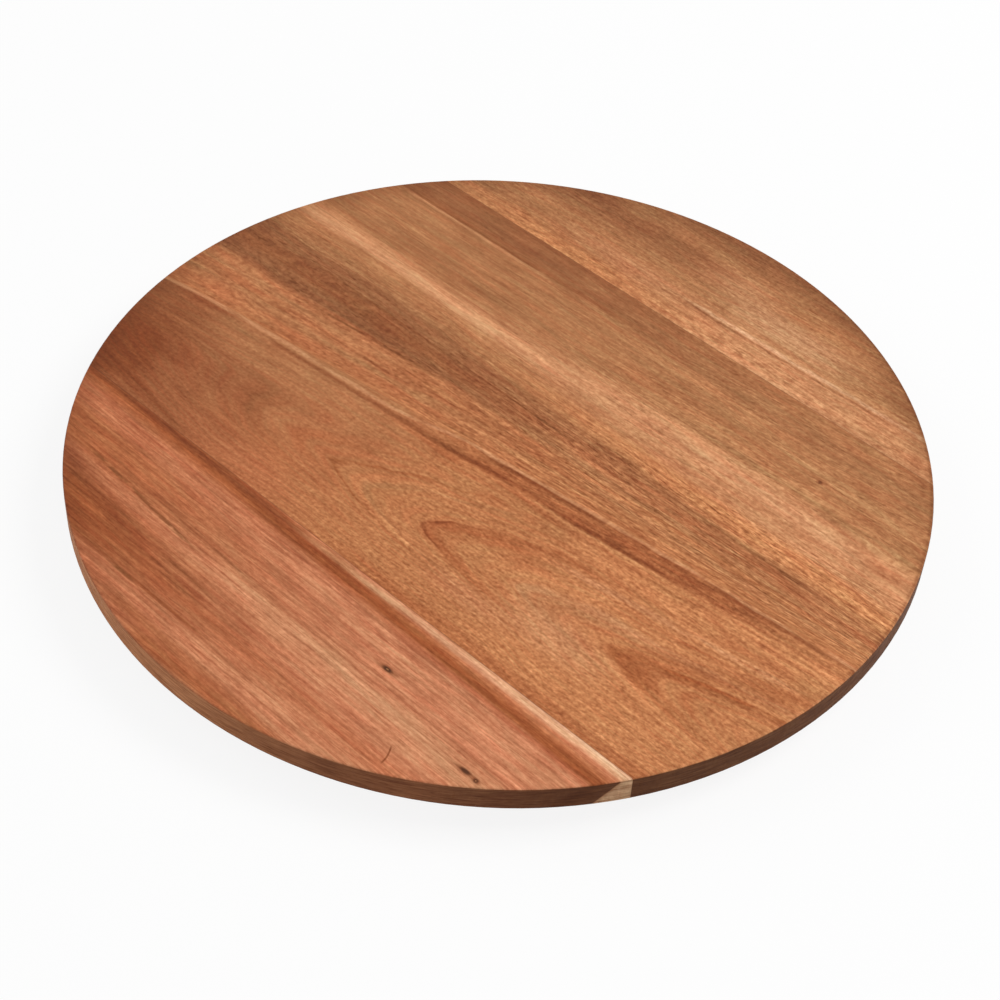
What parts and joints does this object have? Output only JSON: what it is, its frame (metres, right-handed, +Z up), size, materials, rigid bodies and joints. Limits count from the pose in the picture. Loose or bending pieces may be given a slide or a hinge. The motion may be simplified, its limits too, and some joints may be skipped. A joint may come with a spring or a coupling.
{
  "type": "lazy susan serving board",
  "caption": "Round hardwood serving board of edge-glued planks that turns on a low ball-bearing ring with rubber feet.",
  "frame": {"origin": "on the table plane, under the centre of the board and of the bearing", "axes": "+Z up along the turning axis, +X along the grain of the planks, -Y towards the front plank"},
  "size_m": [0.4, 0.4, 0.0273],
  "materials": {
    "front_wood": "oiled, satin",
    "centre_wood": "oiled, satin",
    "rear_wood": "oiled, satin",
    "ring_aluminium": "turned, clear anodised",
    "cage_nylon": "moulded",
    "ball_steel": "polished",
    "plug_steel": "black oxide",
    "screw_steel": "zinc plated",
    "foot_rubber": "matt"
  },
  "bodies": {
    "base": {"base_ring": "ring_aluminium", "loading_plug": "plug_steel", "rubber_foot_1": "foot_rubber", "rubber_foot_2": "foot_rubber", "rubber_foot_3": "foot_rubber", "rubber_foot_4": "foot_rubber", "rubber_foot_5": "foot_rubber", "rubber_foot_6": "foot_rubber"},
    "board": {"front_plank": "front_wood", "centre_plank": "centre_wood", "rear_plank": "rear_wood", "top_ring": "ring_aluminium", "ring_screw_1": "screw_steel", "ring_screw_2": "screw_steel", "ring_screw_3": "screw_steel", "ring_screw_4": "screw_steel", "ring_screw_5": "screw_steel", "ring_screw_6": "screw_steel"},
    "ball_train": {"ball_cage": "cage_nylon", "bearing_balls": "ball_steel"}
  },
  "joints": [
    {"name": "board_spin", "type": "hinge", "parent": "base", "child": "board", "pos_m": [0, 0, 0.00965], "axis": [0, 0, 1], "continuous": true},
    {"name": "ball_train_spin", "type": "hinge", "parent": "base", "child": "ball_train", "pos_m": [0, 0, 0.00965], "axis": [0, 0, 1], "continuous": true}
  ],
  "couplings": [
    {"joint": "ball_train_spin", "follows": "board_spin", "ratio": 0.5}
  ]
}
